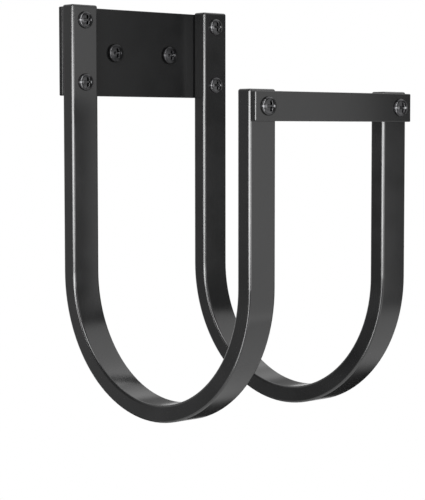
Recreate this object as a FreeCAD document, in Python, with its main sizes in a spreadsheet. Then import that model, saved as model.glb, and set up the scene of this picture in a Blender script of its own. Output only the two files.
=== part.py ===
import FreeCAD, Part
import math
import os

import Sketcher
from FreeCAD import Vector

# Wall-mounted hose hanger, in millimetres.
# The back plate lies on the wall at Y = 0, the hanger stands out towards -Y, and +Z is up.
# The origin is on the wall, midway between the two wall screws.

SIZES = {
    # Rectangular tube of both arms
    "tube_width": 25.0,
    "tube_depth": 13.0,
    "tube_wall": 1.2,
    "tube_corner": 1.8,
    "tube_inner_corner": 0.6,
    # U shape of the arms: spacing of the two arms, pitch of a leg pair, drop from origin to bend centre
    "arm_spacing": 136.7,
    "leg_pitch": 198.0,
    "bend_drop": 171.8,
    # Back plate, and how far the rear legs stand above it
    "plate_height": 69.0,
    "plate_thick": 4.0,
    "plate_corner": 1.0,
    "plate_edge": 0.7,
    "rear_rise": 1.2,
    # Front bar, and how far the front legs stand above it
    "bar_height": 20.8,
    "bar_thick": 5.0,
    "bar_corner": 0.8,
    "bar_edge": 0.7,
    "bar_inset": 0.5,
    "bar_drop": 45.0,
    "front_rise": 1.5,
    # End caps: head over the tube's end, hollow plug with a rib inside the tube
    "cap_head": 2.1,
    "cap_round": 1.7,
    "cap_wall": 1.3,
    "cap_rib_out": 0.5,
    "cap_rib_thick": 0.9,
    "cap_fit": 0.1,
    "cap_gap": 0.5,
    # Machine screws, their holes and the nuts behind the bar
    "machine_thread": 6.0,
    "thread_fit": 0.05,
    "hole_fit": 0.3,
    "tip_chamfer": 0.7,
    "pan_head": 13.4,
    "pan_side": 0.3,
    "pan_shoulder": 2.4,
    "pan_crown": 0.8,
    "arm_screw_margin": 10.5,
    "arm_screw_short": 0.8,
    "nut_flats": 10.0,
    "nut_height": 5.0,
    "nut_past": 1.6,
    # Wall screws
    "wall_pitch": 57.0,
    "wall_head": 14.5,
    "wall_head_side": 1.2,
    "wall_head_shoulder": 2.2,
    "wall_head_crown": 0.7,
    "wall_neck": 4.4,
    "wall_thread": 6.0,
    "wall_hole_fit": 0.5,
    "wall_length": 40.0,
    "wall_point": 7.0,
    # Cross recess of every screw head
    "recess_over": 0.2,
    "recess_depth": 2.5,
    "recess_span": 8.0,
    "recess_width": 2.2,
    "recess_floor_span": 5.4,
    "recess_floor_width": 1.3,
    "recess_round": 0.35,
}

# Distances from the wall towards the front
REAR_LEG_MIDDLE = "(sizes.plate_thick + sizes.tube_depth / 2)"
REAR_LEG_FRONT = "(sizes.plate_thick + sizes.tube_depth)"
FRONT_LEG_MIDDLE = "(sizes.plate_thick + sizes.tube_depth / 2 + sizes.leg_pitch)"
FRONT_LEG_FRONT = "(sizes.plate_thick + sizes.tube_depth + sizes.leg_pitch)"
BAR_FRONT = "(sizes.plate_thick + sizes.tube_depth + sizes.leg_pitch + sizes.bar_thick)"

# Heights of the tube's two ends, under the caps
REAR_END = "(sizes.plate_height / 2 + sizes.rear_rise - sizes.cap_head)"
FRONT_END = "(sizes.bar_height / 2 + sizes.front_rise - sizes.cap_head - sizes.bar_drop)"

# Half pitches of the screws
HALF_ARMS = "(sizes.arm_spacing / 2)"
HALF_ARM_SCREWS = "(sizes.plate_height / 2 - sizes.arm_screw_margin)"
HALF_WALL_SCREWS = "(sizes.wall_pitch / 2)"

# Diameters of the holes
THREADED_HOLE = "(sizes.machine_thread + 2 * sizes.thread_fit)"
CLEARANCE_HOLE = "(sizes.machine_thread + 2 * sizes.hole_fit)"
WALL_HOLE = "(sizes.wall_thread + 2 * sizes.wall_hole_fit)"

# Inside of the tube, and the room that the screw or the nut leaves for a cap's plug
BORE_WIDTH = "(sizes.tube_width - 2 * sizes.tube_wall)"
BORE_DEPTH = "(sizes.tube_depth - 2 * sizes.tube_wall)"
ROOM_OVER_SCREW = f"({REAR_END} - {HALF_ARM_SCREWS} - sizes.machine_thread / 2)"
ROOM_OVER_NUT = f"({FRONT_END} + sizes.bar_drop - sizes.nut_flats / 2)"
PLUG_LENGTH = f"(min({ROOM_OVER_SCREW}; {ROOM_OVER_NUT}) - sizes.cap_gap)"

SIDES = {"left": -1, "right": 1}

# Sketcher's own numbers: a curve's start, end and centre, the two axes and the origin
START, END, CENTRE = range(1, 4)
H_AXIS, V_AXIS = range(-1, -3, -1)
ORIGIN = (H_AXIS, START)

doc = FreeCAD.newDocument("hose_hanger")
sheet = doc.addObject("Spreadsheet::Sheet", "sizes")
for row, (alias, value) in enumerate(SIZES.items(), start=1):
    sheet.set(f"A{row}", alias)
    sheet.set(f"B{row}", str(value))
    sheet.setAlias(f"B{row}", alias)
doc.recompute()


def new_body(label, x="0", y="0", z="0"):
    """Starts a sub-part at a place given by three expressions."""
    body = doc.addObject("PartDesign::Body", label)
    body.Label = label
    for axis, place in zip("xyz", (x, y, z)):
        body.setExpression(f".Placement.Base.{axis}", place)
    return body


def origin_feature(body, role):
    """Finds a plane or an axis of the body's own origin."""
    return next(feature for feature in body.Origin.OriginFeatures if feature.Role == role)


def new_sketch(body, name, role, x="0", y="0", z="0"):
    """Starts a sketch on an origin plane, shifted in the sketch's own axes."""
    sketch = body.newObject("Sketcher::SketchObject", name)
    sketch.AttachmentSupport = [(origin_feature(body, role), "")]
    sketch.MapMode = "FlatFace"
    for axis, shift in zip("xyz", (x, y, z)):
        sketch.setExpression(f".AttachmentOffset.Base.{axis}", shift)
    return sketch


def fix(sketch, kind, *elements):
    """Adds a constraint that has no size."""
    sketch.addConstraint(Sketcher.Constraint(kind, *elements))


def drive(sketch, size, kind, *elements):
    """Adds a dimension whose value is an expression of the sheet."""
    number = sketch.addConstraint(Sketcher.Constraint(kind, *elements))
    sketch.setExpression(f"Constraints[{number}]", size)


def line(sketch, start, end):
    """Draws a straight edge and returns its number."""
    return sketch.addGeometry(Part.LineSegment(Vector(*start, 0), Vector(*end, 0)), False)


def arc(sketch, centre, radius, first, last):
    """Draws an arc between two angles in degrees and returns its number."""
    circle = Part.Circle(Vector(*centre, 0), Vector(0, 0, 1), radius)
    return sketch.addGeometry(Part.ArcOfCircle(circle, math.radians(first), math.radians(last)), False)


def draw_rectangle(sketch, width, height, corner):
    """Draws a rectangle with round corners about the sketch's origin."""
    w, h, r = 10.0, 5.0, 0.5
    bottom = line(sketch, (r - w, -h), (w - r, -h))
    low_right = arc(sketch, (w - r, r - h), r, 270, 360)
    right = line(sketch, (w, r - h), (w, h - r))
    high_right = arc(sketch, (w - r, h - r), r, 0, 90)
    top = line(sketch, (w - r, h), (r - w, h))
    high_left = arc(sketch, (r - w, h - r), r, 90, 180)
    left = line(sketch, (-w, h - r), (-w, r - h))
    low_left = arc(sketch, (r - w, r - h), r, 180, 270)
    loop = (bottom, low_right, right, high_right, top, high_left, left, low_left)
    for edge, following in zip(loop, loop[1:] + loop[:1]):
        fix(sketch, "Tangent", edge, END, following, START)
    for edge in (bottom, top):
        fix(sketch, "Horizontal", edge)
    for edge in (left, right):
        fix(sketch, "Vertical", edge)
    for edge in (high_right, high_left, low_left):
        fix(sketch, "Equal", low_right, edge)
    fix(sketch, "Symmetric", low_right, CENTRE, high_left, CENTRE, *ORIGIN)
    drive(sketch, corner, "Radius", low_right, r)
    drive(sketch, width, "DistanceX", left, START, right, START, 2 * w)
    drive(sketch, height, "DistanceY", bottom, START, top, START, 2 * h)


def draw_holes(sketch, diameter, half_x=None, half_y=None):
    """Draws equal round holes at plus and minus half_x and half_y about the sketch's origin."""
    guess = 5.0
    first = None
    for sign_x in (1, -1) if half_x else (0,):
        for sign_y in (1, -1) if half_y else (0,):
            middle = Vector(sign_x * guess, sign_y * guess, 0)
            hole = sketch.addGeometry(Part.Circle(middle, Vector(0, 0, 1), 1.0), False)
            if first is not None:
                fix(sketch, "Equal", first, hole)
                if sign_x < 0 and sign_y < 0:
                    fix(sketch, "Symmetric", first, CENTRE, hole, CENTRE, *ORIGIN)
                else:
                    fix(sketch, "Symmetric", first, CENTRE, hole, CENTRE, V_AXIS if sign_x < 0 else H_AXIS)
                continue
            first = hole
            drive(sketch, diameter, "Diameter", hole, 2.0)
            if half_x:
                drive(sketch, half_x, "DistanceX", *ORIGIN, hole, CENTRE, guess)
            else:
                fix(sketch, "PointOnObject", hole, CENTRE, V_AXIS)
            if half_y:
                drive(sketch, half_y, "DistanceY", *ORIGIN, hole, CENTRE, guess)
            else:
                fix(sketch, "PointOnObject", hole, CENTRE, H_AXIS)


def draw_hexagon(sketch, flats):
    """Draws a regular hexagon with flats above and below the sketch's origin."""
    radius = 5.0
    around = Part.Circle(Vector(0, 0, 0), Vector(0, 0, 1), radius)
    circle = sketch.addGeometry(around, True)
    fix(sketch, "Coincident", circle, CENTRE, *ORIGIN)
    corners = []
    for step in range(6):
        angle = math.radians(60 * step)
        corners.append((radius * math.cos(angle), radius * math.sin(angle)))
    sides = [line(sketch, start, end) for start, end in zip(corners, corners[1:] + corners[:1])]
    for side, following in zip(sides, sides[1:] + sides[:1]):
        fix(sketch, "Coincident", side, END, following, START)
        fix(sketch, "PointOnObject", side, START, circle)
    for side in sides[1:]:
        fix(sketch, "Equal", sides[0], side)
    fix(sketch, "Horizontal", sides[1])
    drive(sketch, f"{flats} / cos(30 deg)", "Diameter", circle, 2 * radius)


def pad(body, sketch, length, backwards=False):
    """Pads a sketch along its normal, or against it where backwards is set."""
    feature = body.newObject("PartDesign::Pad", f"{sketch.Name}_pad")
    feature.Profile = sketch
    feature.setExpression("Length", length)
    feature.Reversed = backwards
    return feature


def pocket(body, sketch, length, side="One side", along_normal=False):
    """Cuts a sketch into the body and checks that it took something away."""
    doc.recompute()
    before = body.Shape.Volume
    feature = body.newObject("PartDesign::Pocket", f"{sketch.Name}_pocket")
    feature.Profile = sketch
    feature.SideType = side
    feature.setExpression("Length", length)
    feature.Reversed = along_normal
    doc.recompute()
    if not body.Shape.Volume < before:
        raise RuntimeError(f"{feature.Name} cuts nothing")
    return feature


def edge_names(shape, edges):
    """Gives the names that a shape has for some of its edges."""
    return [f"Edge{n}" for n, edge in enumerate(shape.Edges, start=1) if any(edge.isSame(e) for e in edges)]


def round_rim(body, base, axis, level, radius):
    """Rounds the outer edges of the flat face that lies at a level along an axis of the body."""
    doc.recompute()
    height = base.getPropertyByName("Length").Value * level
    faces = [face for face in base.Shape.Faces if abs(getattr(face.CenterOfMass, axis) - height) < 1e-6]
    rim = max(faces, key=lambda face: face.Area).OuterWire.Edges
    fillet = body.newObject("PartDesign::Fillet", f"{base.Name}_rim")
    fillet.Base = (base, edge_names(base.Shape, rim))
    fillet.setExpression("Radius", radius)
    return fillet


def repeat(body, across, up=None):
    """Repeats the whole body once along X, and once along Z where up is given."""
    doc.recompute()
    body.AllowCompound = True
    pattern = body.newObject("PartDesign::LinearPattern", f"{body.Name}_pattern")
    pattern.TransformMode = "Whole shape"
    pattern.Direction = (origin_feature(body, "X_Axis"), [""])
    pattern.setExpression("Length", across)
    pattern.Occurrences = 2
    if up:
        pattern.Direction2 = (origin_feature(body, "Z_Axis"), [""])
        pattern.setExpression("Length2", up)
        pattern.Occurrences2 = 2
    body.Tip = pattern


def build_arm(label, side):
    """Bends the rectangular tube to a U and drills it for its screws."""
    body = new_body(label, x=f"{side} * {HALF_ARMS}")
    section = new_sketch(body, f"{label}_section", "XY_Plane", y=f"-{REAR_LEG_MIDDLE}", z=REAR_END)
    draw_rectangle(section, "sizes.tube_width", "sizes.tube_depth", "sizes.tube_corner")
    draw_rectangle(section, BORE_WIDTH, BORE_DEPTH, "sizes.tube_inner_corner")

    bend_middle = f"-({REAR_LEG_MIDDLE} + {FRONT_LEG_MIDDLE}) / 2"
    path = new_sketch(body, f"{label}_path", "YZ_Plane", x=bend_middle, y="-sizes.bend_drop")
    radius, length = SIZES["leg_pitch"] / 2, SIZES["bend_drop"]
    rear = line(path, (radius, length), (radius, 0))
    bend = arc(path, (0, 0), radius, 180, 360)
    front = line(path, (-radius, 0), (-radius, length))
    fix(path, "Coincident", bend, CENTRE, *ORIGIN)
    fix(path, "Tangent", rear, END, bend, END)
    fix(path, "Tangent", bend, START, front, START)
    fix(path, "Vertical", rear)
    fix(path, "Vertical", front)
    drive(path, "sizes.leg_pitch / 2", "Radius", bend, radius)
    drive(path, f"{REAR_END} + sizes.bend_drop", "DistanceY", rear, END, rear, START, length)
    drive(path, f"{FRONT_END} + sizes.bend_drop", "DistanceY", front, START, front, END, length)

    tube = body.newObject("PartDesign::AdditivePipe", f"{label}_tube")
    tube.Profile = section
    tube.Spine = (path, ["Edge1", "Edge2", "Edge3"])

    rear_holes = new_sketch(body, f"{label}_rear_holes", "XZ_Plane", z=REAR_LEG_MIDDLE)
    draw_holes(rear_holes, CLEARANCE_HOLE, half_y=HALF_ARM_SCREWS)
    pocket(body, rear_holes, "sizes.tube_depth + sizes.tube_wall", side="Symmetric")
    front_hole = new_sketch(body, f"{label}_front_hole", "XZ_Plane", y="-sizes.bar_drop", z=FRONT_LEG_FRONT)
    draw_holes(front_hole, CLEARANCE_HOLE)
    pocket(body, front_hole, "2 * sizes.tube_wall")
    return body


def build_plate():
    """Makes the back plate with its threaded holes and its wall-screw holes."""
    body = new_body("back_plate")
    outline = new_sketch(body, "plate_outline", "XZ_Plane")
    width = "sizes.arm_spacing + sizes.tube_width"
    draw_rectangle(outline, width, "sizes.plate_height", "sizes.plate_corner")
    draw_holes(outline, THREADED_HOLE, half_x=HALF_ARMS, half_y=HALF_ARM_SCREWS)
    draw_holes(outline, WALL_HOLE, half_x=HALF_WALL_SCREWS)
    plate = pad(body, outline, "sizes.plate_thick")
    round_rim(body, plate, "y", -1, "sizes.plate_edge")
    return body


def build_bar():
    """Makes the flat bar across the two front legs."""
    body = new_body("front_bar", y=f"-{FRONT_LEG_FRONT}", z="-sizes.bar_drop")
    outline = new_sketch(body, "bar_outline", "XZ_Plane")
    length = "sizes.arm_spacing + sizes.tube_width - 2 * sizes.bar_inset"
    draw_rectangle(outline, length, "sizes.bar_height", "sizes.bar_corner")
    draw_holes(outline, CLEARANCE_HOLE, half_x=HALF_ARMS)
    bar = pad(body, outline, "sizes.bar_thick")
    round_rim(body, bar, "y", -1, "sizes.bar_edge")
    return body


def build_cap(label, side, leg_middle, tube_end):
    """Makes an end cap: a round-edged head on the tube's end and a hollow ribbed plug inside it."""
    body = new_body(label, x=f"{side} * {HALF_ARMS}", y=f"-{leg_middle}", z=tube_end)
    outline = new_sketch(body, f"{label}_outline", "XY_Plane")
    draw_rectangle(outline, "sizes.tube_width", "sizes.tube_depth", "sizes.tube_corner")
    head = pad(body, outline, "sizes.cap_head")
    round_rim(body, head, "z", 1, "sizes.cap_round")

    rib_width = f"({BORE_WIDTH} - 2 * sizes.cap_fit)"
    rib_depth = f"({BORE_DEPTH} - 2 * sizes.cap_fit)"
    plug_width = f"({rib_width} - 2 * sizes.cap_rib_out)"
    plug_depth = f"({rib_depth} - 2 * sizes.cap_rib_out)"
    plug = new_sketch(body, f"{label}_plug", "XY_Plane")
    draw_rectangle(plug, plug_width, plug_depth, "sizes.tube_inner_corner")
    pad(body, plug, PLUG_LENGTH, backwards=True)
    rib = new_sketch(body, f"{label}_rib", "XY_Plane", z=f"-{PLUG_LENGTH}")
    draw_rectangle(rib, rib_width, rib_depth, "sizes.tube_inner_corner")
    pad(body, rib, "sizes.cap_rib_thick")
    hollow = new_sketch(body, f"{label}_hollow", "XY_Plane", z=f"-{PLUG_LENGTH}")
    hollow_width = f"{plug_width} - 2 * sizes.cap_wall"
    hollow_depth = f"{plug_depth} - 2 * sizes.cap_wall"
    draw_rectangle(hollow, hollow_width, hollow_depth, "sizes.tube_inner_corner")
    pocket(body, hollow, PLUG_LENGTH, along_normal=True)
    return body


def add_screw_head(body, diameter, side, shoulder, crown):
    """Turns a head with a round shoulder whose seat is at the body's origin, and cuts its recess."""
    r, edge, bend, rise = 6.0, 0.5, 2.0, 0.7
    inner, k = r - bend, edge + bend + rise
    sphere = (inner**2 + rise * (rise + 2 * bend)) / (2 * rise)
    reach = math.degrees(math.asin(inner / (sphere - bend)))
    height = f"({side} + {shoulder} + {crown})"
    half = new_sketch(body, f"{body.Name}_head", "XY_Plane")
    axis = line(half, (0, 0), (0, -k))
    dome = arc(half, (0, sphere - k), sphere, 270, 270 + reach)
    corner = arc(half, (inner, -edge), bend, 270 + reach, 360)
    rim = line(half, (r, -edge), (r, 0))
    seat = line(half, (r, 0), (0, 0))
    fix(half, "Coincident", axis, START, *ORIGIN)
    fix(half, "Vertical", axis)
    fix(half, "Coincident", axis, END, dome, START)
    fix(half, "PointOnObject", dome, CENTRE, V_AXIS)
    fix(half, "Tangent", dome, END, corner, START)
    fix(half, "Tangent", corner, END, rim, START)
    fix(half, "Vertical", rim)
    fix(half, "Coincident", rim, END, seat, START)
    fix(half, "Coincident", seat, END, *ORIGIN)
    fix(half, "Horizontal", seat)
    drive(half, f"{diameter} / 2", "DistanceX", seat, END, seat, START, r)
    drive(half, side, "DistanceY", rim, START, rim, END, edge)
    drive(half, shoulder, "Radius", corner, bend)
    drive(half, height, "DistanceY", axis, END, axis, START, k)
    head = body.newObject("PartDesign::Revolution", f"{body.Name}_turned")
    head.Profile = half
    head.ReferenceAxis = (half, ["V_Axis"])
    head.Angle = 360
    cut_recess(body, height)


def cut_recess(body, height):
    """Cuts the two wings of the cross recess into a head and rounds their edge."""
    rim_corner = "sizes.recess_floor_width / 8"
    mouth = (f"{height} + sizes.recess_over", "sizes.recess_span", "sizes.recess_width")
    floor = (f"{height} - sizes.recess_depth", "sizes.recess_floor_span", "sizes.recess_floor_width")
    for wing, upright in (("wing_across", False), ("wing_upright", True)):
        sections = []
        for name, (level, span, width) in (("mouth", mouth), ("floor", floor)):
            section = new_sketch(body, f"{body.Name}_{wing}_{name}", "XZ_Plane", z=level)
            draw_rectangle(section, *((width, span) if upright else (span, width)), rim_corner)
            sections.append(section)
        cut = body.newObject("PartDesign::SubtractiveLoft", f"{body.Name}_{wing}")
        cut.Profile = sections[0]
        cut.Sections = sections[1:]
        cut.Ruled = True
    round_recess(body, cut)


def round_recess(body, cut):
    """Rounds the edge where the walls of the cross recess meet the head's crown."""
    doc.recompute()
    faces = cut.Shape.Faces
    crown = next(face for face in faces if isinstance(face.Surface, Part.Sphere))
    walls = [edge for face in faces if isinstance(face.Surface, Part.BSplineSurface) for edge in face.Edges]
    rim = [edge for edge in crown.Edges if any(edge.isSame(wall) for wall in walls)]
    fillet = body.newObject("PartDesign::Fillet", f"{body.Name}_recess_rim")
    fillet.Base = (cut, edge_names(cut.Shape, rim))
    fillet.setExpression("Radius", "sizes.recess_round")


def chamfer_tip(body, stem, size):
    """Chamfers the edge of a screw's tip."""
    doc.recompute()
    tip = max(stem.Shape.Edges, key=lambda edge: edge.BoundBox.YMin)
    chamfer = body.newObject("PartDesign::Chamfer", f"{stem.Name}_tip")
    chamfer.Base = (stem, edge_names(stem.Shape, [tip]))
    chamfer.setExpression("Size", size)
    return chamfer


def build_machine_screws(label, length, x, y, z, across, up=None):
    """Makes pan-head machine screws, repeated across the hanger and upwards where up is given."""
    body = new_body(label, x, y, z)
    add_screw_head(body, "sizes.pan_head", "sizes.pan_side", "sizes.pan_shoulder", "sizes.pan_crown")
    shank = new_sketch(body, f"{label}_shank", "XZ_Plane")
    draw_holes(shank, "sizes.machine_thread")
    stem = pad(body, shank, length, backwards=True)
    chamfer_tip(body, stem, "sizes.tip_chamfer")
    repeat(body, across, up)
    return body


def build_wall_screws():
    """Makes the wall screws: round head, neck through the plate, thread and point behind it."""
    body = new_body("wall_screws", x=f"-{HALF_WALL_SCREWS}", y="-sizes.plate_thick")
    profile = ("sizes.wall_head_side", "sizes.wall_head_shoulder", "sizes.wall_head_crown")
    add_screw_head(body, "sizes.wall_head", *profile)
    neck = new_sketch(body, "wall_screws_neck", "XZ_Plane")
    draw_holes(neck, "sizes.wall_neck")
    pad(body, neck, "sizes.plate_thick", backwards=True)
    thread = new_sketch(body, "wall_screws_thread", "XZ_Plane", z="-sizes.plate_thick")
    draw_holes(thread, "sizes.wall_thread")
    pad(body, thread, "sizes.wall_length - sizes.wall_point", backwards=True)

    shoulder = "(sizes.plate_thick + sizes.wall_length - sizes.wall_point)"
    half = new_sketch(body, "wall_screws_point", "XY_Plane", y=shoulder)
    r, long = SIZES["wall_thread"] / 2, SIZES["wall_point"]
    base = line(half, (0, 0), (r, 0))
    flank = line(half, (r, 0), (0, long))
    axis = line(half, (0, long), (0, 0))
    fix(half, "Coincident", base, START, *ORIGIN)
    fix(half, "Horizontal", base)
    fix(half, "Coincident", base, END, flank, START)
    fix(half, "Coincident", flank, END, axis, START)
    fix(half, "Coincident", axis, END, *ORIGIN)
    fix(half, "Vertical", axis)
    drive(half, "sizes.wall_thread / 2", "DistanceX", base, START, base, END, r)
    drive(half, "sizes.wall_point", "DistanceY", axis, END, axis, START, long)
    point = body.newObject("PartDesign::Revolution", "wall_screws_turned_point")
    point.Profile = half
    point.ReferenceAxis = (half, ["V_Axis"])
    point.Angle = 360
    repeat(body, "sizes.wall_pitch")
    return body


def build_nuts():
    """Makes the hexagon nuts on the inner face of the front legs' front wall."""
    body = new_body("bar_nuts", f"-{HALF_ARMS}", f"-({FRONT_LEG_FRONT} - sizes.tube_wall)", "-sizes.bar_drop")
    outline = new_sketch(body, "nut_outline", "XZ_Plane")
    draw_hexagon(outline, "sizes.nut_flats")
    draw_holes(outline, THREADED_HOLE)
    pad(body, outline, "sizes.nut_height", backwards=True)
    repeat(body, "sizes.arm_spacing")
    return body


bodies = [build_plate(), build_bar()]
for name, side in SIDES.items():
    bodies.append(build_arm(f"{name}_arm", side))
    bodies.append(build_cap(f"rear_{name}_cap", side, REAR_LEG_MIDDLE, REAR_END))
    bodies.append(build_cap(f"front_{name}_cap", side, FRONT_LEG_MIDDLE, FRONT_END))
bodies.append(
    build_machine_screws(
        "arm_screws",
        length="sizes.tube_depth + sizes.plate_thick - sizes.arm_screw_short",
        x=f"-{HALF_ARMS}",
        y=f"-{REAR_LEG_FRONT}",
        z=f"-{HALF_ARM_SCREWS}",
        across="sizes.arm_spacing",
        up=f"2 * {HALF_ARM_SCREWS}",
    )
)
bodies.append(
    build_machine_screws(
        "bar_screws",
        length="sizes.bar_thick + sizes.tube_wall + sizes.nut_height + sizes.nut_past",
        x=f"-{HALF_ARMS}",
        y=f"-{BAR_FRONT}",
        z="-sizes.bar_drop",
        across="sizes.arm_spacing",
    )
)
bodies.append(build_wall_screws())
bodies.append(build_nuts())
doc.recompute()

for item in doc.Objects:
    if "Invalid" in item.State or "Error" in item.State:
        raise RuntimeError(f"{item.Name} failed: {item.State}")
for body in bodies:
    if body.Shape.isNull() or not body.Shape.isValid():
        raise RuntimeError(f"{body.Label} has no valid shape")

os.makedirs("parts", exist_ok=True)
for body in bodies:
    body.Shape.exportStep(f"parts/{body.Label}.step")
    print(f"{body.Label}: {len(body.Shape.Solids)} solids, {body.Shape.Volume:.1f} mm3")
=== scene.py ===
"""Dresses a black wall-mounted hose hanger: bent tube arms, back plate, front bar, end caps and screws."""

import logging
import math
from dataclasses import dataclass, field
from enum import Enum
from typing import Any

import bmesh
import bpy
from mathutils import Matrix, Quaternion, Vector


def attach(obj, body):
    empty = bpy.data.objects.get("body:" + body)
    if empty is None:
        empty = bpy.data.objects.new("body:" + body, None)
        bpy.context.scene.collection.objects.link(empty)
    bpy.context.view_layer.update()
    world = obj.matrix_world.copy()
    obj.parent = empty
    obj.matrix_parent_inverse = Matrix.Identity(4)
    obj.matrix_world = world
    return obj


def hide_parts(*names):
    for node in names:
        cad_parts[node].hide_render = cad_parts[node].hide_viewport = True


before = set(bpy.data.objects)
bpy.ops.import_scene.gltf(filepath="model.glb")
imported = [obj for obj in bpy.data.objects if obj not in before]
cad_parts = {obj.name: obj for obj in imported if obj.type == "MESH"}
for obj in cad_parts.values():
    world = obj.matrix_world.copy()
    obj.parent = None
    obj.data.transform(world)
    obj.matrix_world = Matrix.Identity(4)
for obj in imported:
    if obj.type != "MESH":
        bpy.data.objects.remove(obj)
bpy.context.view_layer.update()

log = logging.getLogger("hose_hanger")

MM = 0.001
MICRON = 0.000001
BODY = "root"
WALL_SCREW_ACROSS_MM = 28.5
UP = (0.0, 0.0, 1.0)
WHITE = (1.0, 1.0, 1.0)

# Places of the Mix node's inputs and outputs, which share their names
MIX_NUMBERS = (2, 3)
MIX_COLOURS = (6, 7)
MIX_COLOUR_RESULT = 2

Colour = tuple[float, float, float]
Span = tuple[float, float]


class Node(Enum):
    """The solids of the hanger, by name."""

    BACK_PLATE = "back_plate"
    LEFT_ARM = "left_arm"
    RIGHT_ARM = "right_arm"
    FRONT_BAR = "front_bar"
    REAR_LEFT_CAP = "rear_left_cap"
    REAR_RIGHT_CAP = "rear_right_cap"
    FRONT_LEFT_CAP = "front_left_cap"
    FRONT_RIGHT_CAP = "front_right_cap"
    ARM_SCREWS = "arm_screws"
    BAR_SCREWS = "bar_screws"
    WALL_SCREWS = "wall_screws"
    BAR_NUTS = "bar_nuts"


class SeenBy(Enum):
    """The rays that see the white surroundings as they are, without their light."""

    CAMERA = "Is Camera Ray"
    GLOSS = "Is Glossy Ray"
    CLEAR = "Is Transmission Ray"


class ShaderTree:
    """Adds and joins the nodes of one shader tree."""

    def __init__(self, tree: bpy.types.NodeTree) -> None:
        """Keeps the tree and empties it.

        Args:
            tree: The node tree of a material, a world or a node group.
        """
        self.tree = tree
        tree.nodes.clear()

    def add(self, kind: str, **settings: Any) -> bpy.types.Node:
        """Adds a node and sets its own properties.

        Args:
            kind: The node's type name.
            settings: Properties of the node, by name.

        Returns:
            The new node.
        """
        node = self.tree.nodes.new(kind)
        for name, value in settings.items():
            setattr(node, name, value)
        return node

    def join(self, source: bpy.types.NodeSocket, target: bpy.types.NodeSocket) -> None:
        """Links an output to an input."""
        self.tree.links.new(source, target)

    def feed(self, value: Any, target: bpy.types.NodeSocket) -> None:
        """Links an output to an input, or sets the input to a plain value.

        Args:
            value: An output, a number or a colour with its alpha.
            target: The input.
        """
        if isinstance(value, bpy.types.NodeSocket):
            self.join(value, target)
        else:
            target.default_value = value

    def sum_up(self, *terms: bpy.types.NodeSocket | float, operation: str = "ADD") -> bpy.types.NodeSocket:
        """Works out one value from one or two with a Math node.

        Args:
            terms: One or two sockets or numbers.
            operation: The Math node's operation.

        Returns:
            The result's socket.
        """
        node = self.add("ShaderNodeMath", operation=operation)
        for term, socket in zip(terms, node.inputs):
            self.feed(term, socket)
        return node.outputs[0]

    def spread(
        self, value: bpy.types.NodeSocket, low: float, high: float, span: Span = (0.0, 1.0)
    ) -> bpy.types.NodeSocket:
        """Maps a value that runs over a span to the range from low to high.

        Args:
            value: The socket to map.
            low: The result at the start of the span.
            high: The result at the end of the span.
            span: The values between which the result changes.

        Returns:
            The mapped value's socket.
        """
        node = self.add("ShaderNodeMapRange", interpolation_type="SMOOTHSTEP")
        self.join(value, node.inputs["Value"])
        for name, number in zip(("From Min", "From Max", "To Min", "To Max"), (*span, low, high)):
            node.inputs[name].default_value = number
        return node.outputs["Result"]

    def blend(self, mask: bpy.types.NodeSocket, *ends: bpy.types.NodeSocket | float) -> bpy.types.NodeSocket:
        """Goes from one number to another by a mask.

        Args:
            mask: The mask, from 0 to 1.
            ends: The numbers, or their sockets, where the mask is 0 and where it is 1.

        Returns:
            The mixed number's socket.
        """
        node = self.add("ShaderNodeMix")
        self.join(mask, node.inputs[0])
        for end, place in zip(ends, MIX_NUMBERS):
            self.feed(end, node.inputs[place])
        return node.outputs[0]

    def shade(
        self, mask: bpy.types.NodeSocket, *ends: bpy.types.NodeSocket | Colour
    ) -> bpy.types.NodeSocket:
        """Goes from one colour to another by a mask.

        Args:
            mask: The mask, from 0 to 1.
            ends: The colours, or their sockets, where the mask is 0 and where it is 1.

        Returns:
            The mixed colour's socket.
        """
        node = self.add("ShaderNodeMix", data_type="RGBA")
        self.join(mask, node.inputs[0])
        for end, place in zip(ends, MIX_COLOURS):
            self.feed(end if isinstance(end, bpy.types.NodeSocket) else (*end, 1.0), node.inputs[place])
        return node.outputs[MIX_COLOUR_RESULT]

    def mix(self, *sources: bpy.types.NodeSocket) -> bpy.types.NodeSocket:
        """Goes from one shader to another by a mask.

        Args:
            sources: The mask, the shader where it is 0 and the shader where it is 1.

        Returns:
            The mixed shader's socket.
        """
        node = self.add("ShaderNodeMixShader")
        for source, target in zip(sources, node.inputs):
            self.join(source, target)
        return node.outputs[0]


class SharedEffect:
    """A shader node group that is made once and placed in each material that uses it."""

    name = ""
    inputs: dict[str, float] = {}
    outputs: tuple[str, ...] = ()

    def group(self) -> bpy.types.NodeTree:
        """Gives the group, made at its first use.

        Returns:
            The node group.
        """
        found = bpy.data.node_groups.get(self.name)
        if found:
            return found
        tree = bpy.data.node_groups.new(self.name, "ShaderNodeTree")
        for name, value in self.inputs.items():
            socket = tree.interface.new_socket(name, in_out="INPUT", socket_type="NodeSocketFloat")
            socket.default_value = value
        for name in self.outputs:
            tree.interface.new_socket(name, in_out="OUTPUT", socket_type="NodeSocketFloat")
        shader = ShaderTree(tree)
        self.fill(shader, shader.add("NodeGroupInput"), shader.add("NodeGroupOutput"))
        return tree

    def fill(self, shader: ShaderTree, given: bpy.types.Node, result: bpy.types.Node) -> None:
        """Makes the group's nodes.

        Args:
            shader: The group's tree.
            given: The group's input node.
            result: The group's output node.
        """
        raise NotImplementedError

    def place(self, shader: ShaderTree, **values: float) -> bpy.types.Node:
        """Places the group in a material.

        Args:
            shader: The material's tree.
            values: The group's inputs, with _ for a space.

        Returns:
            The group's node.
        """
        node = shader.add("ShaderNodeGroup", node_tree=self.group())
        for name, value in values.items():
            node.inputs[name.replace("_", " ")].default_value = value
        return node


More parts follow.
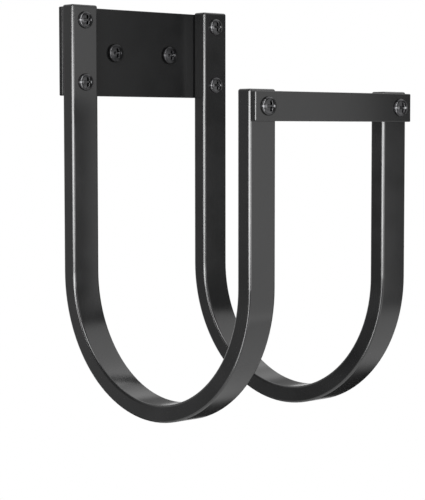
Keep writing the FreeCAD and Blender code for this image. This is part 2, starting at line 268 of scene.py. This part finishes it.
class SurfaceGrain(SharedEffect):
    """The slow swell, fine grain and faint patches of a sprayed, plated or moulded surface."""

    name = "surface_grain"
    inputs = {"Swell mm": 1.4, "Grain mm": 0.3, "Grain Share": 0.3, "Patch mm": 25.0}
    outputs = ("Height", "Patches")
    details = {"Swell mm": 1.0, "Grain mm": 2.0, "Patch mm": 4.0}
    patch_span: Span = (0.3, 0.7)

    def fill(self, shader: ShaderTree, given: bpy.types.Node, result: bpy.types.Node) -> None:
        """Makes three noises of the given sizes, the first two as one height.

        Args:
            shader: The group's tree.
            given: The group's input node.
            result: The group's output node.
        """
        place = shader.add("ShaderNodeTexCoord").outputs["Object"]
        noise: dict[str, bpy.types.NodeSocket] = {}
        for name, detail in self.details.items():
            node = shader.add("ShaderNodeTexNoise")
            node.inputs["Detail"].default_value = detail
            shader.join(place, node.inputs["Vector"])
            scale = shader.sum_up(1.0 / MM, given.outputs[name], operation="DIVIDE")
            shader.join(scale, node.inputs["Scale"])
            noise[name] = node.outputs["Fac"]
        height = shader.blend(given.outputs["Grain Share"], noise["Swell mm"], noise["Grain mm"])
        shader.join(height, result.inputs["Height"])
        patches = shader.spread(noise["Patch mm"], 0.0, 1.0, self.patch_span)
        shader.join(patches, result.inputs["Patches"])


class DriverMarks(SharedEffect):
    """Where a driver's bit has rubbed the cross recess of screws placed evenly about the middle."""

    name = "driver_marks"
    inputs = {"Across mm": 0.0, "Up mm": 0.0, "Wing mm": 4.1, "Width mm": 1.15}
    outputs = ("Rubbed",)
    edge_span: Span = (0.75, 1.0)

    def fill(self, shader: ShaderTree, given: bpy.types.Node, result: bpy.types.Node) -> None:
        """Masks the cross of the recess by its distances from the nearest screw's axis.

        Args:
            shader: The group's tree.
            given: The group's input node.
            result: The group's output node.
        """
        place = shader.add("ShaderNodeSeparateXYZ")
        shader.join(shader.add("ShaderNodeTexCoord").outputs["Object"], place.inputs[0])
        off: list[bpy.types.NodeSocket] = []
        for axis, name in (("X", "Across mm"), ("Z", "Up mm")):
            along = shader.sum_up(place.outputs[axis], operation="ABSOLUTE")
            along = shader.sum_up(along, 1.0 / MM, operation="MULTIPLY")
            along = shader.sum_up(along, given.outputs[name], operation="SUBTRACT")
            off.append(shader.sum_up(along, operation="ABSOLUTE"))
        near = shader.sum_up(*off, operation="MINIMUM")
        far = shader.sum_up(*off, operation="MAXIMUM")
        wing = shader.sum_up(far, given.outputs["Wing mm"], operation="DIVIDE")
        side = shader.sum_up(near, given.outputs["Width mm"], operation="DIVIDE")
        masks = [shader.spread(share, 1.0, 0.0, self.edge_span) for share in (wing, side)]
        inside = shader.sum_up(*masks, operation="MULTIPLY")
        shader.join(inside, result.inputs["Rubbed"])


GRAIN = SurfaceGrain()
MARKS = DriverMarks()


@dataclass(frozen=True)
class Finish:
    """A thin finish with a fine grain and faint patches."""

    name: str
    dark: Colour
    light: Colour
    rough: Span
    specular: float
    swell_mm: float
    grain_mm: float
    grain_share: float
    patch_mm: float
    depth: float
    metallic: float = 0.0

    def make(self) -> bpy.types.Material:
        """Makes the material.

        Returns:
            The new material.
        """
        material = bpy.data.materials.new(self.name)
        material.use_nodes = True
        shader = ShaderTree(material.node_tree)
        surface = shader.add("ShaderNodeBsdfPrincipled")
        surface.inputs["Specular IOR Level"].default_value = self.specular
        surface.inputs["Metallic"].default_value = self.metallic
        grain = GRAIN.place(
            shader,
            Swell_mm=self.swell_mm,
            Grain_mm=self.grain_mm,
            Grain_Share=self.grain_share,
            Patch_mm=self.patch_mm,
        )
        bump = shader.add("ShaderNodeBump")
        bump.inputs["Strength"].default_value = 1.0
        bump.inputs["Distance"].default_value = self.depth
        shader.join(grain.outputs["Height"], bump.inputs["Height"])
        shader.join(bump.outputs["Normal"], surface.inputs["Normal"])
        self.colour(shader, surface, grain.outputs["Patches"])
        output = shader.add("ShaderNodeOutputMaterial")
        shader.join(surface.outputs["BSDF"], output.inputs["Surface"])
        material.diffuse_color = (*self.light, 1.0)
        return material

    def colour(self, shader: ShaderTree, surface: bpy.types.Node, patches: bpy.types.NodeSocket) -> None:
        """Sets the colour and the roughness from the patches.

        Args:
            shader: The material's tree.
            surface: The surface's shader node.
            patches: The mask of the patches.
        """
        shader.join(shader.shade(patches, self.dark, self.light), surface.inputs["Base Color"])
        shader.join(shader.spread(patches, *self.rough), surface.inputs["Roughness"])


@dataclass(frozen=True)
class ScrewFinish(Finish):
    """A black screw finish, rubbed bright in the cross recess."""

    rubbed: Colour = (0.16, 0.16, 0.165)
    rubbed_rough: float = 0.26
    rub: float = 0.1
    across_mm: float = 0.0
    up_mm: float = 0.0

    def colour(self, shader: ShaderTree, surface: bpy.types.Node, patches: bpy.types.NodeSocket) -> None:
        """Sets the colour and the roughness from the patches and the rubbed recess.

        Args:
            shader: The material's tree.
            surface: The surface's shader node.
            patches: The mask of the patches.
        """
        marks = MARKS.place(shader, Across_mm=self.across_mm, Up_mm=self.up_mm)
        mask = shader.sum_up(marks.outputs["Rubbed"], self.rub, operation="MULTIPLY")
        plain = shader.shade(patches, self.dark, self.light)
        shader.join(shader.shade(mask, plain, self.rubbed), surface.inputs["Base Color"])
        rough = shader.blend(mask, shader.spread(patches, *self.rough), self.rubbed_rough)
        shader.join(rough, surface.inputs["Roughness"])


def satin_coat(name: str, specular: float, rough: Span) -> Finish:
    """Gives a black powder coat with a slight orange peel.

    Args:
        name: The material's name.
        specular: How strongly it reflects.
        rough: The least and most roughness.

    Returns:
        The finish.
    """
    return Finish(
        name=name,
        dark=(0.0045, 0.0046, 0.0048),
        light=(0.0065, 0.0066, 0.0069),
        rough=rough,
        specular=specular,
        swell_mm=1.5,
        grain_mm=0.28,
        grain_share=0.1,
        patch_mm=30.0,
        depth=2.0 * MICRON,
    )


@dataclass
class SteelFrame:
    """The coated steel pieces: the back plate, the two bent tube arms and the front bar."""

    arm_coat: Finish = field(default_factory=lambda: satin_coat("satin_black_tube", 1.0, (0.16, 0.19)))
    bar_coat: Finish = field(default_factory=lambda: satin_coat("satin_black_bar", 0.88, (0.17, 0.20)))
    plate_coat: Finish = field(default_factory=lambda: satin_coat("satin_black_plate", 0.36, (0.21, 0.25)))

    def dress(self) -> None:
        """Gives each steel piece its coat."""
        tube = self.arm_coat.make()
        paint(Node.LEFT_ARM, tube)
        paint(Node.RIGHT_ARM, tube)
        paint(Node.FRONT_BAR, self.bar_coat.make())
        paint(Node.BACK_PLATE, self.plate_coat.make())


@dataclass
class EndCaps:
    """The four moulded caps that close the ends of the tubes."""

    plastic: Finish = Finish(
        name="moulded_black_plastic",
        dark=(0.0060, 0.0060, 0.0062),
        light=(0.0085, 0.0085, 0.0087),
        rough=(0.20, 0.24),
        specular=0.9,
        swell_mm=0.9,
        grain_mm=0.16,
        grain_share=0.6,
        patch_mm=12.0,
        depth=5.0 * MICRON,
    )

    def dress(self) -> None:
        """Gives the caps their plastic."""
        plastic = self.plastic.make()
        for cap in (Node.REAR_LEFT_CAP, Node.REAR_RIGHT_CAP, Node.FRONT_LEFT_CAP, Node.FRONT_RIGHT_CAP):
            paint(cap, plastic)


@dataclass
class MachineScrews:
    """The cross-recess screws that hold the arms and the bar, and the nuts of the bar's screws."""

    across: float = 68.35
    arm_up: float = 24.0
    bar_up: float = 45.0
    nut_plate: Finish = Finish(
        name="zinc_plate",
        dark=(0.48, 0.48, 0.50),
        light=(0.60, 0.60, 0.62),
        rough=(0.26, 0.38),
        specular=0.5,
        swell_mm=0.8,
        grain_mm=0.1,
        grain_share=0.5,
        patch_mm=4.0,
        depth=4.0 * MICRON,
        metallic=1.0,
    )

    def zinc(self, name: str, up: float) -> ScrewFinish:
        """Gives the black zinc of one set of screws.

        Args:
            name: The material's name.
            up: How far the set is above or below the middle, in mm.

        Returns:
            The finish.
        """
        return ScrewFinish(
            name=name,
            dark=(0.072, 0.072, 0.074),
            light=(0.090, 0.090, 0.093),
            rough=(0.19, 0.23),
            specular=0.5,
            metallic=1.0,
            swell_mm=1.1,
            grain_mm=0.12,
            grain_share=0.4,
            patch_mm=5.0,
            depth=6.0 * MICRON,
            across_mm=self.across,
            up_mm=up,
        )

    def dress(self) -> None:
        """Gives the screws and the nuts their plating."""
        paint(Node.ARM_SCREWS, self.zinc("black_zinc_arm_screws", self.arm_up).make())
        paint(Node.BAR_SCREWS, self.zinc("black_zinc_bar_screws", self.bar_up).make())
        paint(Node.BAR_NUTS, self.nut_plate.make())


@dataclass
class WallScrews:
    """The two wall screws, with their cut threads behind the plate."""

    across: float = WALL_SCREW_ACROSS_MM * MM
    core: float = 2.1 * MM
    crest: float = 3.0 * MM
    pitch: float = 2.6 * MM
    start: float = -0.6 * MM
    straight: float = 33.0 * MM
    length: float = 40.0 * MM
    run_in_from: float = 0.4 * MM
    run_in: float = 2.2 * MM
    taper_power: int = 3
    steps: int = 40
    sharp_angle: float = 32.0
    head_weld: float = 0.5 * MICRON
    thread_weld: float = 2.0 * MICRON
    profile: tuple[tuple[float, float], ...] = (
        (0.0, 0.0),
        (0.30, 0.0),
        (0.46, 1.0),
        (0.54, 1.0),
        (0.70, 0.0),
    )
    phosphate: ScrewFinish = ScrewFinish(
        name="black_phosphate_wall_screws",
        dark=(0.042, 0.042, 0.044),
        light=(0.056, 0.056, 0.058),
        rough=(0.28, 0.33),
        specular=0.5,
        metallic=1.0,
        swell_mm=0.7,
        grain_mm=0.1,
        grain_share=0.6,
        patch_mm=3.0,
        depth=8.0 * MICRON,
        rub=0.05,
        across_mm=WALL_SCREW_ACROSS_MM,
    )

    def build(self) -> bpy.types.Object:
        """Makes both screws as one piece: the solid's heads and necks, and a thread behind each.

        Returns:
            The new piece.
        """
        mesh = bpy.data.meshes.new("wall_screws_threaded")
        shape = bmesh.new()
        self.add_heads(shape)
        for side in (-1.0, 1.0):
            self.add_thread(shape, side * self.across)
        shape.to_mesh(mesh)
        shape.free()
        mesh.shade_smooth()
        mesh.set_sharp_from_angle(angle=math.radians(self.sharp_angle))
        piece = bpy.data.objects.new(mesh.name, mesh)
        bpy.context.scene.collection.objects.link(piece)
        mesh.materials.append(self.phosphate.make())
        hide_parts(Node.WALL_SCREWS.value)
        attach(piece, BODY)
        return piece

    def add_heads(self, shape: bmesh.types.BMesh) -> None:
        """Copies the heads and necks, which lie in front of the wall.

        Args:
            shape: The mesh to add to.
        """
        shape.from_mesh(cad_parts[Node.WALL_SCREWS.value].data)
        bmesh.ops.remove_doubles(shape, verts=shape.verts[:], dist=self.head_weld)
        behind = [face for face in shape.faces if all(vert.co.y > -MICRON for vert in face.verts)]
        bmesh.ops.delete(shape, geom=behind, context="FACES")

    def radius(self, along: float, height: float) -> float:
        """Gives the thread's radius at one place.

        Args:
            along: The distance behind the wall's face.
            height: The place on the thread's profile, from 0 at the core to 1 at the crest.

        Returns:
            The radius.
        """
        narrow = max(0.0, (along - self.straight) / (self.length - self.straight))
        run_in = min(1.0, max(0.0, (along - self.run_in_from) / self.run_in))
        depth = (self.crest - self.core) * run_in * (1.0 - narrow**self.taper_power)
        return self.core * (1.0 - narrow) + height * depth

    def add_thread(self, shape: bmesh.types.BMesh, middle: float) -> None:
        """Winds the thread as a strip of the profile, turn beside turn, down to the point.

        Args:
            shape: The mesh to add to.
            middle: The screw's place across the plate.
        """
        turns = math.ceil((self.length - self.start) / self.pitch) + 1
        last = turns * self.steps
        rows: list[list[bmesh.types.BMVert]] = []
        new: list[bmesh.types.BMVert] = []
        for step in range(last + self.steps + 1):
            turn = math.tau * step / self.steps
            row: list[bmesh.types.BMVert] = []
            for share, height in self.profile:
                along = self.start + self.pitch * (step / self.steps - 1.0 + share)
                along = min(max(along, self.start), self.length)
                radius = 0.0 if along >= self.length else self.radius(along, height)
                across, up = radius * math.sin(turn), radius * math.cos(turn)
                row.append(shape.verts.new((middle + across, along, up)))
            rows.append(row)
            new += row
        for step in range(last):
            here = rows[step] + [rows[step + self.steps][0]]
            there = rows[step + 1] + [rows[step + 1 + self.steps][0]]
            for column in range(len(self.profile)):
                shape.faces.new((here[column], there[column], there[column + 1], here[column + 1]))
        bmesh.ops.delete(shape, geom=[vert for vert in new if not vert.link_faces], context="VERTS")
        kept = [vert for vert in new if vert.is_valid]
        bmesh.ops.remove_doubles(shape, verts=kept, dist=self.thread_weld)
        kept = [vert for vert in kept if vert.is_valid]
        rim = [edge for edge in {edge for vert in kept for edge in vert.link_edges} if edge.is_boundary]
        bmesh.ops.holes_fill(shape, edges=rim)
        faces = {face for vert in kept for face in vert.link_faces}
        bmesh.ops.recalc_face_normals(shape, faces=list(faces))


@dataclass(frozen=True)
class SoftBox:
    """A flat lamp that faces the hanger."""

    name: str
    azimuth: float
    elevation: float
    distance: float
    width: float
    height: float
    brightness: float
    roll: float = 0.0

    def hang(self, aim: Vector) -> bpy.types.Object:
        """Hangs the lamp so that it faces a point.

        Args:
            aim: The point that it faces.

        Returns:
            The lamp.
        """
        lamp = bpy.data.lights.new(self.name, "AREA")
        lamp.shape = "RECTANGLE"
        lamp.size = self.width
        lamp.size_y = self.height
        lamp.energy = math.pi * self.width * self.height * self.brightness
        holder = bpy.data.objects.new(self.name, lamp)
        bpy.context.scene.collection.objects.link(holder)
        away = direction(self.azimuth, self.elevation)
        holder.location = aim + away * self.distance
        turn = away.to_track_quat("Z", "Y") @ Quaternion(UP, math.radians(self.roll))
        holder.rotation_euler = turn.to_euler()
        holder.visible_camera = False
        return holder


@dataclass(frozen=True)
class ShadedZone:
    """A part of the room that reflections see dimmed, by how far behind the hanger and how high it is."""

    behind: Span
    heights: tuple[Span, ...]
    level: float


@dataclass
class Studio:
    """The plain pale floor, the white surroundings, the soft lamps and the camera."""

    aim: Vector = field(default_factory=lambda: Vector((0.0, -0.10, -0.11)))
    floor_level: float = -1.15
    floor_radius: float = 1.05
    floor_segments: int = 96
    floor_colour: Colour = (0.80, 0.80, 0.80)
    floor_rough: float = 0.9
    floor_specular: float = 0.1
    floor_fade: Span = (0.75, 1.0)
    floor_glow: float = 0.6
    behind: Vector = field(default_factory=lambda: Vector((0.5, 0.866, 0.0)))
    room: float = 0.125
    white_behind: float = 1.0
    white_below: float = 0.75
    behind_span: Span = (0.16, 0.92)
    below_span: Span = (-0.30, -0.46)
    shaded: tuple[ShadedZone, ...] = (
        ShadedZone(behind=(0.25, 0.58), heights=((-0.18, -0.40),), level=0.03),
        ShadedZone(behind=(0.60, 0.85), heights=((0.02, 0.12), (0.55, 0.36)), level=0.25),
    )
    sky: float = 0.06
    camera_place: Vector = field(default_factory=lambda: Vector((-0.870271, -1.041748, -0.062926)))
    camera_right: Vector = field(default_factory=lambda: Vector((0.738629, -0.674112, -0.000906)))
    camera_up: Vector = field(default_factory=lambda: Vector((0.048309, 0.051592, 0.997499)))
    focal_pixels: float = 1663.18
    long_side_pixels: float = 500.0
    sensor: float = 36.0
    lamps: tuple[SoftBox, ...] = (
        SoftBox("front_bank", 3.0, 0.0, 4.0, 3.2, 0.8, 2.4),
        SoftBox("left_bank", -71.0, 0.0, 4.0, 9.0, 0.82, 7.3),
        SoftBox("upright_bank", -58.0, -1.0, 0.8, 0.21, 1.85, 6.4),
        SoftBox("right_bank", 15.3, 2.0, 0.82, 0.9, 1.1, 0.68, roll=8.0),
        SoftBox("ceiling_bank", 80.0, 60.0, 1.6, 1.8, 1.8, 0.8),
        SoftBox("shoulder_bank", -44.0, 50.0, 1.2, 0.45, 0.8, 3.8),
    )

    def build(self) -> None:
        """Sets up the floor, the surroundings, the lamps and the camera."""
        bpy.context.scene.view_settings.view_transform = "Standard"
        self.lay_floor()
        self.set_surroundings()
        for lamp in self.lamps:
            lamp.hang(self.aim)
            log.info("lamp %s", lamp.name)
        self.place_camera()

    def seen_white(self, shader: ShaderTree) -> bpy.types.NodeSocket:
        """Masks the rays that see the surroundings as white.

        Args:
            shader: The tree to add to.

        Returns:
            The mask's socket, from 0 to 1.
        """
        path = shader.add("ShaderNodeLightPath")
        both = shader.sum_up(path.outputs[SeenBy.CAMERA.value], path.outputs[SeenBy.GLOSS.value])
        total = shader.sum_up(both, path.outputs[SeenBy.CLEAR.value])
        return shader.sum_up(total, 1.0, operation="MINIMUM")

    def lay_floor(self) -> bpy.types.Object:
        """Lays a round pale floor below the hanger, which fades out towards its edge.

        Returns:
            The floor.
        """
        mesh = bpy.data.meshes.new("floor")
        shape = bmesh.new()
        bmesh.ops.create_circle(shape, cap_ends=True, segments=self.floor_segments, radius=self.floor_radius)
        shape.to_mesh(mesh)
        shape.free()
        floor = bpy.data.objects.new("floor", mesh)
        floor.location = (0.0, self.aim.y, self.floor_level)
        bpy.context.scene.collection.objects.link(floor)
        mesh.materials.append(self.floor_material())
        return floor

    def floor_material(self) -> bpy.types.Material:
        """Makes the floor's material: pale to look at, with the shadow kept, and clear towards the edge.

        Returns:
            The new material.
        """
        material = bpy.data.materials.new("pale_floor")
        material.use_nodes = True
        material.cycles.emission_sampling = "NONE"
        shader = ShaderTree(material.node_tree)
        surface = shader.add("ShaderNodeBsdfPrincipled")
        surface.inputs["Base Color"].default_value = (*self.floor_colour, 1.0)
        surface.inputs["Roughness"].default_value = self.floor_rough
        surface.inputs["Specular IOR Level"].default_value = self.floor_specular
        length = shader.add("ShaderNodeVectorMath", operation="LENGTH")
        shader.join(shader.add("ShaderNodeTexCoord").outputs["Object"], length.inputs[0])
        fade = shader.spread(length.outputs["Value"], 1.0, 0.0, self.floor_fade)
        shader.join(fade, surface.inputs["Alpha"])
        seen = shader.sum_up(self.seen_white(shader), self.floor_glow, operation="MULTIPLY")
        share = shader.sum_up(seen, fade, operation="MULTIPLY")
        both = shader.mix(share, surface.outputs["BSDF"], shader.add("ShaderNodeEmission").outputs[0])
        shader.join(both, shader.add("ShaderNodeOutputMaterial").inputs["Surface"])
        return material

    def set_surroundings(self) -> None:
        """Makes a room that is white to look at, partly grey in reflections, and gives a soft light."""
        world = bpy.data.worlds.new("studio")
        bpy.context.scene.world = world
        world.use_nodes = True
        shader = ShaderTree(world.node_tree)
        light = shader.add("ShaderNodeBackground")
        light.inputs["Strength"].default_value = self.sky
        seen = shader.add("ShaderNodeBackground")
        for node in (light, seen):
            node.inputs["Color"].default_value = (*WHITE, 1.0)
        looked_at = shader.add("ShaderNodeLightPath").outputs[SeenBy.CAMERA.value]
        level = shader.sum_up(self.mirrored(shader), looked_at, operation="MAXIMUM")
        shader.join(level, seen.inputs["Strength"])
        either = shader.mix(self.seen_white(shader), light.outputs[0], seen.outputs[0])
        shader.join(either, shader.add("ShaderNodeOutputWorld").inputs["Surface"])

    def mirrored(self, shader: ShaderTree) -> bpy.types.NodeSocket:
        """Works out how bright reflections see the room in each direction.

        Args:
            shader: The room's tree.

        Returns:
            The brightness's socket.
        """
        look = shader.add("ShaderNodeTexCoord").outputs["Generated"]
        shares: list[bpy.types.NodeSocket] = []
        for way in (self.behind, UP):
            along = shader.add("ShaderNodeVectorMath", operation="DOT_PRODUCT")
            shader.join(look, along.inputs[0])
            along.inputs[1].default_value = way
            shares.append(along.outputs["Value"])
        back, high = shares
        white_behind = shader.spread(back, self.room, self.white_behind, self.behind_span)
        white_below = shader.spread(high, self.room, self.white_below, self.below_span)
        level = shader.sum_up(white_behind, white_below, operation="MAXIMUM")
        for zone in self.shaded:
            mask = shader.spread(back, 0.0, 1.0, zone.behind)
            for span in zone.heights:
                mask = shader.sum_up(mask, shader.spread(high, 0.0, 1.0, span), operation="MULTIPLY")
            level = shader.sum_up(level, shader.spread(mask, 1.0, zone.level), operation="MULTIPLY")
        return level

    def place_camera(self) -> bpy.types.Object:
        """Places the camera at the photograph's view.

        Returns:
            The camera.
        """
        lens = bpy.data.cameras.new("camera")
        lens.sensor_width = self.sensor
        lens.lens = self.focal_pixels * self.sensor / self.long_side_pixels
        camera = bpy.data.objects.new("camera", lens)
        bpy.context.scene.collection.objects.link(camera)
        back = self.camera_right.cross(self.camera_up)
        turn = Matrix((self.camera_right, self.camera_up, back)).transposed()
        camera.matrix_world = Matrix.Translation(self.camera_place) @ turn.to_4x4()
        bpy.context.scene.camera = camera
        return camera


def direction(azimuth: float, elevation: float) -> Vector:
    """Gives the direction from the hanger at two angles.

    Args:
        azimuth: Degrees from straight in front, positive to the right.
        elevation: Degrees above the level.

    Returns:
        The unit vector.
    """
    side, up = math.radians(azimuth), math.radians(elevation)
    return Vector((math.sin(side) * math.cos(up), -math.cos(side) * math.cos(up), math.sin(up)))


def paint(node: Node, material: bpy.types.Material) -> None:
    """Gives a solid its material and reports it.

    Args:
        node: The solid.
        material: Its material.
    """
    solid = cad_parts[node.value]
    for holder in solid.material_slots:
        holder.material = material
    log.info("%s: %s", node.value, material.name)


def main() -> None:
    """Builds and dresses the hanger's pieces in order, then the studio."""
    logging.basicConfig(level=logging.INFO, format="%(name)s: %(message)s")
    SteelFrame().dress()
    EndCaps().dress()
    MachineScrews().dress()
    screws = WallScrews().build()
    log.info("%s: %d faces", screws.name, len(screws.data.polygons))
    Studio().build()


if __name__ == "__main__":
    main()
